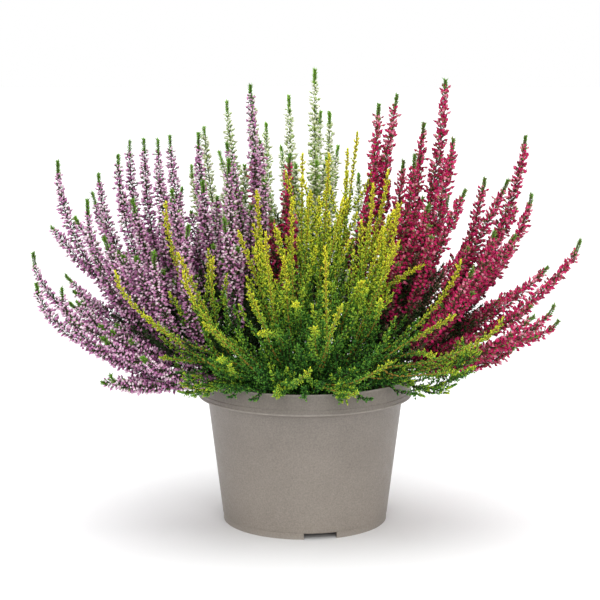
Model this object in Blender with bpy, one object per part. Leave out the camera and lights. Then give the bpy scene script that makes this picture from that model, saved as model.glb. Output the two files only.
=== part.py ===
"""Potted heather: four heather plants in four colours, growing in one grower's pot.

Run with blender --background --python part.py. The sizes below are in millimetres, the scene is in
metres and +Z is up. The origin is on the floor, at the centre of the pot's foot. -Y is the front, where
the gold plant stands.
"""

import math

import bmesh
import bpy
import numpy as np
from mathutils import Matrix, Quaternion, Vector, kdtree

MM = 0.001
GAP = 0.3

# Pot, turned about the Z axis
POT_HEIGHT = 118
RIM_RADIUS = 84.4
RIM_ROUND = 0.6
BEAD = 0.7
BEAD_HEIGHT = 1.8
LIP_HEIGHT = 16.4
LEDGE_DROP = 2.6
SHOULDER_RADIUS = 77.5
FOOT_RADIUS = 65.5
FOOT_BAND = 5.6
FOOT_STEP = 0.5
FOOT_RING = 3.4
WALL = 1.6
FLOOR_UNDER = 5.2
FLOOR_TOP = 6.9
POT_SIDES = 36
COMPOST_SIDES = 18
NOTCH_WIDTH = 26
NOTCH_HEIGHT = 4.9
NOTCH_ANGLES = (-79.5, 40.5, 160.5)
DRAIN_RADIUS = 5
DRAIN_RING = 42
DRAIN_COUNT = 5
DRAIN_SIDES = 8

# Compost, which fills the pot to a finger's width below the rim
SOIL_EDGE = 98
SOIL_DOME = 4
SOIL_RINGS = (0.25, 0.5, 0.75)
CLOD = 0.7
HOLE_DEPTH = 14
HOLE_RADIUS = 2.05
STEM_SIDES = 3

# Where each plant stands, how its shoots bow, how thick its parts are, and its colour.
# A shoot runs outward as 1 - (1 - t) ** sweep and upward as t ** lift.
PLANTS = {
    "lilac": {
        "crown": (-34, 6), "sweep": 1.9, "lift": 1.25, "bud": 6.6, "leaf": 3.0, "bloom": 0.42,
        "colour": (0.42, 0.19, 0.36, 1),
    },
    "white": {
        "crown": (2, 36), "sweep": 1.5, "lift": 1.1, "bud": 6.0, "leaf": 3.2, "bloom": 0.48,
        "colour": (0.62, 0.68, 0.52, 1),
    },
    "crimson": {
        "crown": (34, 6), "sweep": 1.5, "lift": 1.1, "bud": 7.0, "leaf": 3.0, "bloom": 0.4,
        "colour": (0.42, 0.02, 0.11, 1),
    },
    "gold": {
        "crown": (0, -34), "sweep": 1.6, "lift": 1.1, "bud": 4.4, "leaf": 3.8, "bloom": 0.25,
        "colour": (0.5, 0.52, 0.05, 1),
    },
}

# The tips of each spray's shoots. The first shoot stands in the compost and the
# others fork from it.
SPRAYS = {
    "lilac": (
        ((-198, 30, 285), (-173, 48, 258)),
        ((-164, -55, 262), (-150, -74, 236)),
        ((-162, 0, 277), (-180, -10, 244)),
        ((-143, -30, 294), (-130, -56, 262)),
        ((-142, 48, 300), (-128, 22, 303)),
        ((-112, -35, 306), (-100, -62, 270)),
        ((-108, 30, 305), (-122, 72, 270), (-150, 84, 236)),
        ((-83, -5, 309), (-78, -38, 275)),
        ((-58, -45, 292), (-60, -76, 250)),
        ((-43, 5, 346), (-62, 12, 300)),
        ((-217, 15, 213), (-196, 46, 190)),
        ((-208, -30, 195), (-186, -8, 176)),
        ((-182, -75, 198), (-178, -58, 170), (-150, -98, 164)),
        ((-146, -85, 134), (-120, -104, 150)),
        ((-175, 98, 196), (-134, 128, 212), (-104, 112, 256)),
        ((-112, -82, 226), (-86, -84, 246)),
    ),
    "white": (
        ((-94, 76, 278), (-82, 52, 311)),
        ((-64, 68, 331), (-72, 96, 288)),
        ((-42, 44, 336), (-32, 82, 312)),
        ((-13, 54, 336), (-20, 94, 292)),
        ((8, 48, 357), (13, 84, 322)),
        ((20, 60, 323), (28, 106, 292)),
        ((-66, 140, 228), (-40, 126, 268)),
        ((0, 150, 232), (-10, 128, 276)),
        ((62, 140, 222), (46, 112, 268)),
    ),
    "crimson": (
        ((58, 12, 331), (73, 26, 338)),
        ((109, 0, 350), (94, 18, 316)),
        ((112, -40, 307), (120, -60, 270)),
        ((84, -26, 294), (94, -50, 258)),
        ((80, 48, 284), (98, 70, 252)),
        ((176, 30, 305), (160, 4, 272), (146, 44, 270)),
        ((175, -20, 263), (160, -46, 234)),
        ((141, -70, 240), (124, -86, 214)),
        ((217, 0, 225), (196, 24, 200)),
        ((190, -50, 181), (172, -72, 176)),
        ((205, 20, 157), (184, -8, 150)),
        ((171, 62, 213), (186, 78, 176)),
        ((122, 110, 250), (142, 98, 212), (96, 132, 214)),
        ((-42, 24, 292), (-12, 20, 291)),
        ((162, -34, 146), (138, -62, 158)),
    ),
    "gold": (
        ((-103, -60, 261), (-94, -86, 225), (-68, -84, 222)),
        ((-140, -90, 212), (-118, -104, 182), (-108, -92, 148)),
        ((-89, -104, 214), (-74, -122, 180), (-62, -124, 152)),
        ((-37, -40, 267), (-50, -72, 240)),
        ((-29, -92, 241), (-42, -114, 205), (-34, -130, 172)),
        ((-2, -20, 294), (4, -46, 268)),
        ((-10, -62, 264), (-16, -98, 224), (-8, -120, 192)),
        ((18, -30, 295), (28, -56, 262)),
        ((33, -10, 297), (41, 6, 309)),
        ((51, -50, 273), (58, -72, 240), (42, -98, 206)),
        ((64, -20, 281), (76, -6, 256), (90, -52, 212)),
        ((69, -62, 260), (68, -100, 236), (54, -122, 196)),
        ((14, -112, 233), (26, -134, 194), (6, -134, 178)),
        ((116, -72, 218), (110, -102, 182), (94, -110, 152)),
        ((146, -90, 178), (128, -76, 150), (112, -106, 140)),
        ((-22, -114, 126), (4, -150, 150)),
        ((38, -118, 128), (62, -128, 152)),
        ((-80, -64, 120), (-58, -112, 148)),
    ),
}

# Shoots, each a run of evenly spaced points from its foot to its tip
SHOOT_POINTS = 22
FORK_POINT = 4
FORK_STEP = 2
FORK_BEND = 0.4
ROOT_SPREAD = 0.14
ROOT_REACH = 50
ROOT_SPACING = 7.5
ROOT_ROUNDS = 150
BEND_ROUNDS = 240
BEND_GAP = 0.8
NEAR = 19
BEND_PUSH = 0.3
RIM_APPROACH = 15
PAIR_ROUNDS = 8
CLEAR_OF_FORK = 2
CORE = 1.35
CORE_TIP = 0.9
FOOT_RISE = 2
TIP_LEAVES = 16
STEM_RINGS = (3, 5, 7)
RING_STEP = 2
LEAF_SPACING = 24
BUD_SPACING = 19
TIP_LEAP = 6
SPIKE_SHARES = (0.08, 0.24, 0.42, 0.58, 0.76, 0.92)
SPIKE_ROOM = 6
RING_TURN = math.radians(78)
THIRD = math.tau / 3
BARE_REACH = 2
BARE_LENGTH = 26

# Colours and finishes
POT_COLOUR = (0.3, 0.27, 0.23, 1)
POT_ROUGHNESS = 0.55
COMPOST_COLOUR = (0.05, 0.03, 0.02, 1)
COMPOST_ROUGHNESS = 0.95
SPRAY_ROUGHNESS = 0.7


def bowed(start, tip, sweep, lift):
    """A shoot's course, which sweeps outward first and then upward, as evenly spaced points."""
    t = np.linspace(0, 1, 4 * SHOOT_POINTS)[:, None]
    flat = start[:2] + (tip[:2] - start[:2]) * (1 - (1 - t) ** sweep)
    rise = start[2] + (tip[2] - start[2]) * t ** lift
    return evenly(np.hstack((flat, rise)), SHOOT_POINTS)


def forked(course, fork, tip):
    """A side shoot's course: its parent's up to the fork, and then its own way to its tip."""
    start = course[fork]
    ahead = course[fork + 1] - course[fork - 1]
    bend = start + ahead / np.linalg.norm(ahead) * np.linalg.norm(tip - start) * FORK_BEND
    t = np.linspace(0, 1, 4 * SHOOT_POINTS)[:, None]
    curve = (1 - t) ** 2 * start + 2 * t * (1 - t) * bend + t ** 2 * tip
    return np.vstack((course[:fork], evenly(curve, SHOOT_POINTS - fork)))


def evenly(points, count):
    """The same course with its points at equal distances."""
    steps = np.linalg.norm(np.diff(points, axis=0), axis=1)
    along = np.concatenate(([0], np.cumsum(steps)))
    wanted = np.linspace(0, along[-1], count)
    return np.column_stack([np.interp(wanted, along, points[:, axis]) for axis in range(3)])


def wall_radius(height):
    """The outer radius of the pot's tapered wall."""
    share = (height - FOOT_BAND) / (POT_HEIGHT - LIP_HEIGHT - LEDGE_DROP - FOOT_BAND)
    return FOOT_RADIUS + FOOT_STEP + (SHOULDER_RADIUS - FOOT_RADIUS - FOOT_STEP) * share


def soil_height(reach):
    """How high the domed compost stands at a distance from the pot's axis."""
    edge = wall_radius(SOIL_EDGE)
    return SOIL_EDGE + SOIL_DOME * (1 - (reach / edge) ** 2)


def spread_feet(feet):
    """Move the stems' feet apart in the compost until each has room for its hole."""
    for _ in range(ROOT_ROUNDS):
        apart = feet[:, None] - feet[None]
        distance = np.linalg.norm(apart, axis=2) + np.eye(len(feet)) * ROOT_SPACING
        short = np.clip(ROOT_SPACING - distance, 0, None)
        feet = feet + (apart * (short / distance)[:, :, None]).sum(axis=1) * 0.4
        reach = np.linalg.norm(feet, axis=1, keepdims=True)
        feet = feet * np.minimum(1, ROOT_REACH / reach)
    return feet


def lay_out_shoots():
    """Each spray's plant, and every shoot's spray, fork, course and reach of leaves and buds."""
    plants = [plant for plant in PLANTS for _ in SPRAYS[plant]]
    sprays = [spray for plant in PLANTS for spray in SPRAYS[plant]]
    crowns = np.array([PLANTS[plant]["crown"] for plant in plants], float)
    leaders = np.array([spray[0][:2] for spray in sprays], float)
    feet = spread_feet(crowns + ROOT_SPREAD * (leaders - crowns))
    owners, forks, courses, reaches = [], [], [], []
    for number, (plant, spray, foot) in enumerate(zip(plants, sprays, feet)):
        form = PLANTS[plant]
        start = np.array((*foot, soil_height(np.hypot(*foot))))
        leader = bowed(start, np.array(spray[0], float), form["sweep"], form["lift"])
        for order, tip in enumerate(spray):
            fork = (FORK_POINT + FORK_STEP * (order - 1)) if order else 0
            course = forked(leader, fork, np.array(tip, float)) if order else leader
            owners.append(number)
            forks.append(fork)
            courses.append(course)
            reaches.append(shoot_reach(course, form))
    owners, forks = np.array(owners), np.array(forks)
    courses = bend_clear(np.array(courses), np.array(reaches), owners, forks)
    return plants, feet, owners, forks, courses, np.array(reaches)


def shoot_reach(course, form):
    """How far leaves and buds reach from a shoot's middle, from its foot to its tip."""
    length = np.linalg.norm(np.diff(course, axis=0), axis=1).sum()
    tip = 1 - TIP_LEAVES / length
    marks = (0, form["bloom"] - 0.1, form["bloom"], tip - 0.04, tip, 1)
    reach = (BARE_REACH, form["leaf"], form["bud"], form["bud"], form["leaf"], BARE_REACH)
    return np.interp(np.linspace(0, 1, len(course)), marks, reach)


def bend_clear(courses, reaches, owners, forks):
    """Bend shoots that would cross clear of each other, of the pot's rim and of the compost."""
    count, points = courses.shape[:2]
    shoot = np.repeat(np.arange(count), points)
    place = np.tile(np.arange(points), count)
    leader = np.searchsorted(owners, owners)
    own = place > forks[shoot]
    straight = courses.copy()
    reach = reaches.ravel()
    for turn in range(BEND_ROUNDS):
        flat = courses.reshape(-1, 3)
        if turn % PAIR_ROUNDS == 0:
            a, b = near_pairs(flat, own, shoot, place - forks[shoot], owners)
        apart = flat[a] - flat[b]
        distance = np.linalg.norm(apart, axis=1)
        short = np.clip(reach[a] + reach[b] + BEND_GAP - distance, 0, None)
        push = apart * (BEND_PUSH * short / distance)[:, None]
        move = np.zeros_like(flat)
        np.add.at(move, a, push)
        np.add.at(move, b, -push)
        bend = courses + move.reshape(courses.shape) - straight
        bend[:, 1:-1] = bend[:, 1:-1] * 0.5 + (bend[:, :-2] + bend[:, 2:]) * 0.25
        courses = clear_of_pot(straight + bend, reaches)
        courses[:, 0] = straight[:, 0]
        for index in np.flatnonzero(forks):
            shared = slice(0, forks[index] + 1)
            courses[index, shared] = courses[leader[index], shared]
    return courses


def near_pairs(points, own, shoot, past_fork, owners):
    """Pairs of points on different shoots that lie close enough to meet."""
    tree = kdtree.KDTree(len(points))
    for index in np.flatnonzero(own):
        tree.insert(points[index], int(index))
    tree.balance()
    pairs = []
    for index in np.flatnonzero(own):
        for _, other, _ in tree.find_range(points[index], NEAR):
            one_spray = owners[shoot[index]] == owners[shoot[other]]
            just_forked = one_spray and min(past_fork[index], past_fork[other]) < CLEAR_OF_FORK
            if other > index and shoot[index] != shoot[other] and not just_forked:
                pairs.append((index, other))
    return np.array(pairs).T


def clear_of_pot(courses, reaches):
    """Lift what would touch the rim or the compost."""
    across = np.linalg.norm(courses[:, :, :2], axis=2)
    over_rim = (across > SHOULDER_RADIUS - RIM_APPROACH) & (across < RIM_RADIUS + BEAD + reaches)
    over_soil = across < SHOULDER_RADIUS
    lowest = np.where(over_rim, POT_HEIGHT, np.where(over_soil, soil_height(across), 0))
    lowest = np.where(over_rim | over_soil, lowest + reaches + BEND_GAP, 0)
    lifted = courses.copy()
    lifted[:, 2:, 2] = np.maximum(courses[:, 2:, 2], lowest[:, 2:])
    return lifted


def add_object(name, mesh, colour, roughness):
    """Turn a shape in millimetres into an object in metres with a material of its own."""
    bmesh.ops.scale(mesh, vec=(MM, MM, MM), verts=mesh.verts)
    data = bpy.data.meshes.new(name)
    mesh.to_mesh(data)
    mesh.free()
    material = bpy.data.materials.new(name)
    material.use_nodes = True
    shader = material.node_tree.nodes["Principled BSDF"]
    shader.inputs["Base Color"].default_value = colour
    shader.inputs["Roughness"].default_value = roughness
    data.materials.append(material)
    made = bpy.data.objects.new(name, data)
    bpy.context.collection.objects.link(made)
    return made


def turned(profile, sides):
    """A body turned about the Z axis from an outline that starts and ends on the axis."""
    mesh = bmesh.new()
    corners = [mesh.verts.new((radius, 0, height)) for radius, height in profile]
    edges = [mesh.edges.new(pair) for pair in zip(corners, corners[1:])]
    bmesh.ops.spin(
        mesh, geom=corners + edges, cent=(0, 0, 0), axis=(0, 0, 1), angle=math.tau,
        steps=sides, use_merge=True,
    )
    bmesh.ops.remove_doubles(mesh, verts=mesh.verts, dist=0.001)
    bmesh.ops.recalc_face_normals(mesh, faces=mesh.faces)
    return mesh


def cut(target, cutter):
    """Cut one object with another, which stays as a guide."""
    cutter.hide_render = True
    cutter.display_type = "WIRE"
    boolean = target.modifiers.new(cutter.name, "BOOLEAN")
    boolean.operation = "DIFFERENCE"
    boolean.object = cutter


def block(mesh, size, angle, reach):
    """Add a box that stands across a line from the axis."""
    turn = Matrix.Rotation(math.radians(angle), 4, "Z")
    place = turn @ Matrix.Translation((reach, 0, 0)) @ Matrix.Diagonal((*size, 1))
    bmesh.ops.create_cube(mesh, size=1, matrix=place)


def make_pot():
    """The pot: a band round its rim, a tapered wall, a foot ring with notches and a floor with drains."""
    band_low = POT_HEIGHT - LIP_HEIGHT
    shoulder = band_low - LEDGE_DROP
    inner_ledge = shoulder + WALL
    profile = (
        (0, FLOOR_TOP),
        (wall_radius(FLOOR_TOP) - WALL, FLOOR_TOP),
        (SHOULDER_RADIUS - WALL, inner_ledge),
        (RIM_RADIUS - WALL, band_low + WALL),
        (RIM_RADIUS - WALL, POT_HEIGHT),
        (RIM_RADIUS - RIM_ROUND, POT_HEIGHT),
        (RIM_RADIUS, POT_HEIGHT - RIM_ROUND),
        (RIM_RADIUS, band_low + BEAD_HEIGHT),
        (RIM_RADIUS + BEAD, band_low + BEAD_HEIGHT - BEAD),
        (RIM_RADIUS + BEAD, band_low),
        (SHOULDER_RADIUS, shoulder),
        (wall_radius(FOOT_BAND), FOOT_BAND),
        (FOOT_RADIUS, FOOT_BAND - FOOT_STEP),
        (FOOT_RADIUS, 0),
        (FOOT_RADIUS - FOOT_RING, 0),
        (FOOT_RADIUS - FOOT_RING, FLOOR_UNDER),
        (0, FLOOR_UNDER),
    )
    pot = add_object("pot", turned(profile, POT_SIDES), POT_COLOUR, POT_ROUGHNESS)
    openings = bmesh.new()
    for angle in NOTCH_ANGLES:
        block(openings, (4 * FOOT_RING, NOTCH_WIDTH, 2 * NOTCH_HEIGHT), angle, FOOT_RADIUS)
    for number in range(DRAIN_COUNT):
        turn = Matrix.Rotation(math.tau * number / DRAIN_COUNT, 4, "Z")
        bmesh.ops.create_cone(
            openings, cap_ends=True, segments=DRAIN_SIDES, radius1=DRAIN_RADIUS,
            radius2=DRAIN_RADIUS, depth=FLOOR_TOP,
            matrix=turn @ Matrix.Translation((DRAIN_RING, 0, FLOOR_TOP)),
        )
    cut(pot, add_object("pot_openings", openings, POT_COLOUR, POT_ROUGHNESS))
    pot.data.shade_smooth()
    pot.data.set_sharp_from_angle(angle=math.radians(30))


def make_compost(feet):
    """The root ball: it fills the pot, its top is domed and lumpy, and each stem has a hole in it."""
    bottom = FLOOR_TOP + GAP
    edge = wall_radius(SOIL_EDGE) - WALL - GAP
    rings = [(edge * share, soil_height(edge * share)) for share in SOIL_RINGS]
    profile = (
        (0, soil_height(0)), *rings, (edge, SOIL_EDGE),
        (wall_radius(bottom) - WALL - GAP, bottom), (0, bottom),
    )
    mesh = turned(profile, COMPOST_SIDES)
    for corner in mesh.verts:
        x, y, height = corner.co
        if height > bottom and math.hypot(x, y) < edge - 1:
            corner.co.z += CLOD * (math.sin(x / 3 + 1.3) + math.cos(y / 4 + x / 9))
    compost = add_object("compost", mesh, COMPOST_COLOUR, COMPOST_ROUGHNESS)
    holes = bmesh.new()
    for x, y in feet:
        top = soil_height(math.hypot(x, y))
        bmesh.ops.create_cone(
            holes, cap_ends=True, segments=STEM_SIDES, radius1=HOLE_RADIUS, radius2=HOLE_RADIUS,
            depth=2 * HOLE_DEPTH, matrix=Matrix.Translation((x, y, top)),
        )
    cut(compost, add_object("stem_holes", holes, COMPOST_COLOUR, COMPOST_ROUGHNESS))


def core_radius(mark):
    """The bare stem's radius at a place on a shoot."""
    return CORE + (CORE_TIP - CORE) * mark / SHOOT_POINTS


def at(course, mark):
    """The place on a shoot at a mark that may lie between two of its points."""
    numbers = np.arange(SHOOT_POINTS)
    return Vector([np.interp(mark, numbers, course[:, axis]) for axis in range(3)])


def ring_marks(course, bloom, fork):
    """Where a shoot's rings of corners lie: on its bare stem, and then evenly spaced in leaf and in bud."""
    point_gap = np.linalg.norm(course[-1] - course[-2])
    bare = [fork + RING_STEP] if fork else list(STEM_RINGS)
    bloom = max(bloom * SHOOT_POINTS, bare[-1])
    last = SHOOT_POINTS - 1 - TIP_LEAP / point_gap
    leafy = round((bloom - bare[-1]) * point_gap / LEAF_SPACING)
    budded = round((last - bloom) * point_gap / BUD_SPACING)
    marks = [*bare, *np.linspace(bare[-1], bloom, leafy + 1)[1:]]
    return [*marks, *np.linspace(marks[-1], last, budded + 1)[1:]]


def plant_foot(mesh, course):
    """Stand a stem's foot in its hole, and return the face that it grows on from."""
    x, y, top = course[0]
    low = top - HOLE_DEPTH + GAP
    high = top + FOOT_RISE
    bmesh.ops.create_cone(
        mesh, cap_ends=True, segments=STEM_SIDES, radius1=CORE, radius2=CORE, depth=high - low,
        matrix=Matrix.Translation((x, y, (low + high) / 2)),
    )
    return max(mesh.faces, key=lambda face: face.calc_center_median().z)


def heading_at(course, mark):
    """The way that a shoot points at a mark."""
    return (at(course, mark + 1) - at(course, mark - 1)).normalized()


def turned_on(corners):
    """The same corners, each in the place of the one before it."""
    return corners[1:] + corners[:1]


def grow(mesh, cap, course, marks, turn):
    """Extrude a three-sided face along a shoot to its tip, and return its sides by stretch."""
    stretches = []
    for before, mark in zip((marks[0] - RING_STEP, *marks), marks):
        heading = heading_at(course, mark)
        middle = cap.calc_center_median()
        arm = Vector()
        for step, corner in enumerate(cap.verts):
            arm += Quaternion(heading, -THIRD * step) @ (corner.co - middle)
        arm -= heading * arm.dot(heading)
        arm = Quaternion(heading, turn) @ (arm.normalized() * core_radius(mark))
        lows = list(cap.verts)
        cap = bmesh.ops.extrude_discrete_faces(mesh, faces=[cap])["faces"][0]
        highs = list(cap.verts)
        for step, corner in enumerate(highs):
            corner.co = at(course, mark) + Quaternion(heading, THIRD * step) @ arm
        sides = []
        for high, next_low, next_high in zip(highs, turned_on(lows), turned_on(highs)):
            side = next(face for face in high.link_faces if face is not cap and next_high in face.verts)
            sides += [side, bmesh.utils.face_split(side, next_low, high)[0]]
        stretches.append((before, mark, sides))
        turn = RING_TURN
    tip = bmesh.ops.poke(mesh, faces=[cap])["verts"][0]
    tip.co = Vector(course[-1])
    return stretches


def side_facing(stretches, course, fork, side_course):
    """The side of a stem that faces where a shoot leaves it."""
    heading = Vector(side_course[fork + RING_STEP] - course[fork + RING_STEP])
    sides = next(sides for before, mark, sides in stretches if before < fork <= mark)
    whole = [side for side in sides if side.is_valid]
    for side in whole:
        side.normal_update()
    return max(whole, key=lambda side: side.normal.dot(heading))


def raise_spikes(mesh, stretches, course, reach, fork, others):
    """Raise each side of a shoot into a leaf or a bud, each at a height of its own on its stretch."""
    bare_end = fork + BARE_LENGTH / np.linalg.norm(course[-1] - course[-2])
    for before, mark, sides in stretches:
        forks_here = not all(side.is_valid for side in sides)
        if before < bare_end - 1 or forks_here:
            continue
        low, high = at(course, before), at(course, mark)
        halfway = (low + high) / 2
        lows = [side for side in sides if (side.calc_center_median() - halfway).dot(high - low) < 0]
        highs = [side for side in sides if side not in lows]
        for side, share in zip((*lows, *highs), SPIKE_SHARES):
            side.normal_update()
            place = before + (mark - before) * share
            heading = heading_at(course, place)
            out = side.normal - heading * side.normal.dot(heading)
            far = np.interp(place, np.arange(SHOOT_POINTS), reach)
            point = low.lerp(high, share) + out.normalized() * far
            if np.linalg.norm(others - np.array(point), axis=1).min() > SPIKE_ROOM:
                spike = bmesh.ops.poke(mesh, faces=[side])["verts"][0]
                spike.co = point


def make_spray(name, forks, courses, reaches, form):
    """One spray: a stem with its side shoots, and the leaves and buds that stand out of them."""
    mesh = bmesh.new()
    grown = []
    for fork, course in zip(forks, courses):
        marks = ring_marks(course, form["bloom"], fork)
        if fork:
            cap = side_facing(grown[0], courses[0], fork, course)
            grown.append(grow(mesh, cap, course, marks, 0))
        else:
            grown.append(grow(mesh, plant_foot(mesh, course), course, marks, RING_TURN))
    for number, stretches in enumerate(grown):
        others = np.vstack([
            courses[other][max(forks[number], forks[other]) + 1:]
            for other in range(len(grown)) if other != number
        ])
        raise_spikes(mesh, stretches, courses[number], reaches[number], forks[number], others)
    bmesh.ops.recalc_face_normals(mesh, faces=mesh.faces)
    add_object(name, mesh, form["colour"], SPRAY_ROUGHNESS)


def build():
    """Make the pot, the compost and every spray."""
    for old in list(bpy.data.objects):
        bpy.data.objects.remove(old)
    plants, feet, owners, forks, courses, reaches = lay_out_shoots()
    make_pot()
    make_compost(feet)
    for number, plant in enumerate(plants):
        of_spray = owners == number
        name = f"{plant}_spray_{number - plants.index(plant) + 1:02d}"
        make_spray(name, forks[of_spray], courses[of_spray], reaches[of_spray], PLANTS[plant])


build()
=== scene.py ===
import math

import bmesh
import bpy
import numpy as np
from mathutils import Matrix, Vector, kdtree


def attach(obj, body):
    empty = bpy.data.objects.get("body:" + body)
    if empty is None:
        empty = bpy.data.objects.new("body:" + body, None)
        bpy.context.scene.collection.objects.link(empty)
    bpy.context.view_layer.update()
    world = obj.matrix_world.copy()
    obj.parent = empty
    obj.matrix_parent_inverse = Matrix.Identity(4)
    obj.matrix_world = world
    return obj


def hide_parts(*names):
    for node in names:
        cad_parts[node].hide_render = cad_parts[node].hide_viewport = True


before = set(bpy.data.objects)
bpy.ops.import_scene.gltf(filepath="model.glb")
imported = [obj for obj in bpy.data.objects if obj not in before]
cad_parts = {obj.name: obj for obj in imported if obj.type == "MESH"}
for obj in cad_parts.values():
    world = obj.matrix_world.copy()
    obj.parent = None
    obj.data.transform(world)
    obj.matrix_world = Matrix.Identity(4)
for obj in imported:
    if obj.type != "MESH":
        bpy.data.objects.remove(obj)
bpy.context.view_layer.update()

# Camera and studio
# The camera stands in front of the gold plant and looks slightly down on the pot. Floor and sky are one
# plain white. One wide soft light hangs overhead, and a weaker one shines past the camera.
MM = 0.001
PHOTO_SIDE = 600
FOCAL_PIXELS = 1660
SENSOR_WIDTH = 36
CAMERA_PLACE = (-0.004, -1.3, 0.381)
CAMERA_PITCH = 8.93
FLOOR_RADIUS = 12000
FLOOR_SIDES = 96
FLOOR_COLOUR = (0.9, 0.9, 0.905, 1)
FLOOR_GLOSS = 0.1
SKY_COLOUR = (1, 1, 1, 1)
SKY_LIGHT = 0.45
SKY_SEEN = 1.0


def add_object(name, data):
    """A new object of the scene, at the origin."""
    made = bpy.data.objects.new(name, data)
    bpy.context.scene.collection.objects.link(made)
    return made


def add_piece(name, mesh, finish):
    """Turn a shape in millimetres into an object in metres."""
    bmesh.ops.scale(mesh, vec=(MM, MM, MM), verts=mesh.verts)
    data = bpy.data.meshes.new(name)
    mesh.to_mesh(data)
    mesh.free()
    data.materials.append(finish)
    return add_object(name, data)


def new_finish(name, roughness):
    """A material with its shader's roughness set."""
    finish = bpy.data.materials.new(name)
    finish.use_nodes = True
    shader = finish.node_tree.nodes["Principled BSDF"]
    shader.inputs["Roughness"].default_value = roughness
    return finish, shader


def feed(finish, value, socket):
    """Set a socket to a value, or link it to the socket given as its value."""
    if isinstance(value, bpy.types.NodeSocket):
        getattr(finish, "node_tree", finish).links.new(value, socket)
    else:
        socket.default_value = value


def node(finish, kind, **values):
    """A node in a material or group, with the named settings, and inputs set or linked."""
    made = getattr(finish, "node_tree", finish).nodes.new(kind)
    for key, value in values.items():
        if key in made.inputs:
            feed(finish, value, made.inputs[key])
        else:
            setattr(made, key, value)
    return made


camera = add_object("camera", bpy.data.cameras.new("camera"))
camera.data.sensor_width = SENSOR_WIDTH
camera.data.lens = SENSOR_WIDTH * FOCAL_PIXELS / PHOTO_SIDE
camera.location = CAMERA_PLACE
camera.rotation_euler = (math.radians(90 - CAMERA_PITCH), 0, 0)
bpy.context.scene.camera = camera
bpy.context.scene.view_settings.view_transform = "Standard"

floor_finish, floor_shader = new_finish("studio_floor", roughness=0.9)
floor_shader.inputs["Base Color"].default_value = FLOOR_COLOUR
floor_shader.inputs["Specular IOR Level"].default_value = FLOOR_GLOSS
floor_mesh = bmesh.new()
bmesh.ops.create_circle(floor_mesh, cap_ends=True, segments=FLOOR_SIDES, radius=FLOOR_RADIUS)
add_piece("floor", floor_mesh, floor_finish)

world = bpy.data.worlds.new("studio_sky")
world.use_nodes = True
bpy.context.scene.world = world
sky = world.node_tree.nodes["Background"]
sky.inputs["Color"].default_value = SKY_COLOUR
sky_path = node(world, "ShaderNodeLightPath")
sky_strength = node(world, "ShaderNodeMapRange", Value=sky_path.outputs["Is Camera Ray"])
sky_strength.inputs["To Min"].default_value = SKY_LIGHT
sky_strength.inputs["To Max"].default_value = SKY_SEEN
feed(world, sky_strength.outputs["Result"], sky.inputs["Strength"])


def hang_lamp(name, towards, spread, strength):
    """A soft light that shines evenly from one side of the room."""
    lamp = add_object(name, bpy.data.lights.new(name, "SUN"))
    lamp.data.angle = math.radians(spread)
    lamp.data.energy = strength
    lamp.rotation_euler = Vector(towards).to_track_quat("-Z", "Y").to_euler()


hang_lamp("main_lamp", towards=(0.02, -0.14, -1.0), spread=70, strength=2.64)
hang_lamp("front_lamp", towards=(-0.05, 1.0, -0.65), spread=50, strength=1.32)

# Pot
# A grower's pot moulded in one piece from recycled plastic: a broad lip band that a hand can hold, a wall
# that tapers so that pots stack, and a foot with three notches and five holes that let water out.
POT_HEIGHT = 118
RIM_RADIUS = 84.4
BEAD = 0.7
BEAD_HEIGHT = 1.8
BAND_LINE = 4.6
LIP_HEIGHT = 16.4
LEDGE_DROP = 2.6
SHOULDER_RADIUS = 77.5
FOOT_RADIUS = 65.5
FOOT_BAND = 5.6
FOOT_STEP = 0.5
FOOT_RING = 3.4
WALL = 1.6
FLOOR_UNDER = 5.2
FLOOR_TOP = 6.9
POT_SIDES = 144
SOFT_EDGE = 0.35
SHARP_EDGE = 0.3
CREASE_ANGLE = 40
SAME = 0.001
NOTCH_WIDTH = 26
NOTCH_HEIGHT = 4.9
NOTCH_ANGLES = (-79.5, 40.5, 160.5)
DRAIN_RADIUS = 5
DRAIN_RING = 42
DRAIN_COUNT = 5
DRAIN_SIDES = 24
POT_COLOUR = (0.225, 0.198, 0.172, 1)
POT_PALE = (0.42, 0.385, 0.345, 1)

# Where a mix node has its factor and two colours, and its result
MIX_SOCKETS = (0, 6, 7)
MIX_RESULT = 2


def wall_radius(height):
    """The outer radius of the pot's tapered wall."""
    share = (height - FOOT_BAND) / (POT_HEIGHT - LIP_HEIGHT - LEDGE_DROP - FOOT_BAND)
    return FOOT_RADIUS + FOOT_STEP + (SHOULDER_RADIUS - FOOT_RADIUS - FOOT_STEP) * share


def turned(profile, sides):
    """A body turned about the Z axis from an outline that starts and ends on the axis."""
    mesh = bmesh.new()
    corners = [mesh.verts.new((radius, 0, height)) for radius, height in profile]
    edges = [mesh.edges.new(pair) for pair in zip(corners, corners[1:])]
    bmesh.ops.spin(
        mesh, geom=corners + edges, cent=(0, 0, 0), axis=(0, 0, 1), angle=math.tau,
        steps=sides, use_merge=True,
    )
    bmesh.ops.remove_doubles(mesh, verts=mesh.verts, dist=SAME)
    bmesh.ops.recalc_face_normals(mesh, faces=mesh.faces)
    return mesh


def ramp(finish, source, stops):
    """Colours by a factor, from stops of a place and a colour, or a number for a grey."""
    made = node(finish, "ShaderNodeValToRGB", Fac=source)
    band = made.color_ramp.elements
    stops = [(place, colour if isinstance(colour, tuple) else (colour,) * 3) for place, colour in stops]
    for element, (place, colour) in ((band[0], stops[0]), (band[-1], stops[-1])):
        element.position = place
        element.color = (*colour, 1)
    for place, colour in stops[1:-1]:
        band.new(place).color = (*colour, 1)
    return made.outputs["Color"]


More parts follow.
